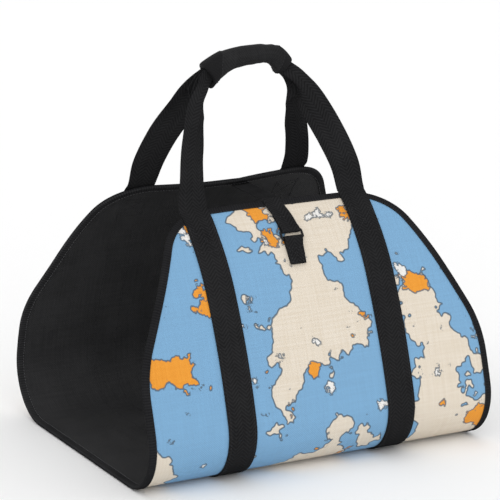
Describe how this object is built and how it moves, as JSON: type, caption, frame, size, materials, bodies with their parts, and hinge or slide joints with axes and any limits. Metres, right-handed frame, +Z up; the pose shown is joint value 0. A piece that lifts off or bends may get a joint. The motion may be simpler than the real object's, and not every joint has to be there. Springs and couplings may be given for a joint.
{
  "type": "log carrier",
  "caption": "Open-ended canvas trough with bound edges, webbing straps that rise into joined carrying handles with a padded wrap, and a narrow strap and ring that close the mouth.",
  "frame": {"origin": "on the floor, under the middle of the trough", "axes": "+X along the trough towards its right end, +Y towards the back panel, +Z up"},
  "size_m": [0.45, 0.3853, 0.4724],
  "materials": {
    "printed_canvas": "woven polyester canvas with a matt print",
    "lining_cloth": "black woven lining, matt",
    "binding_tape": "black woven tape, matt",
    "webbing": "black ribbed webbing, matt",
    "wrap_cloth": "black padded cloth, matt",
    "ring_plastic": "moulded black plastic, satin"
  },
  "bodies": {
    "root": {"canvas_shell": "printed_canvas", "lining": "lining_cloth", "edge_binding": "binding_tape", "front_strap": "webbing", "back_strap": "webbing", "grip_wrap": "wrap_cloth", "closure_strap": "webbing", "buckle_ring": "ring_plastic", "buckle_tab": "webbing"}
  },
  "joints": []
}
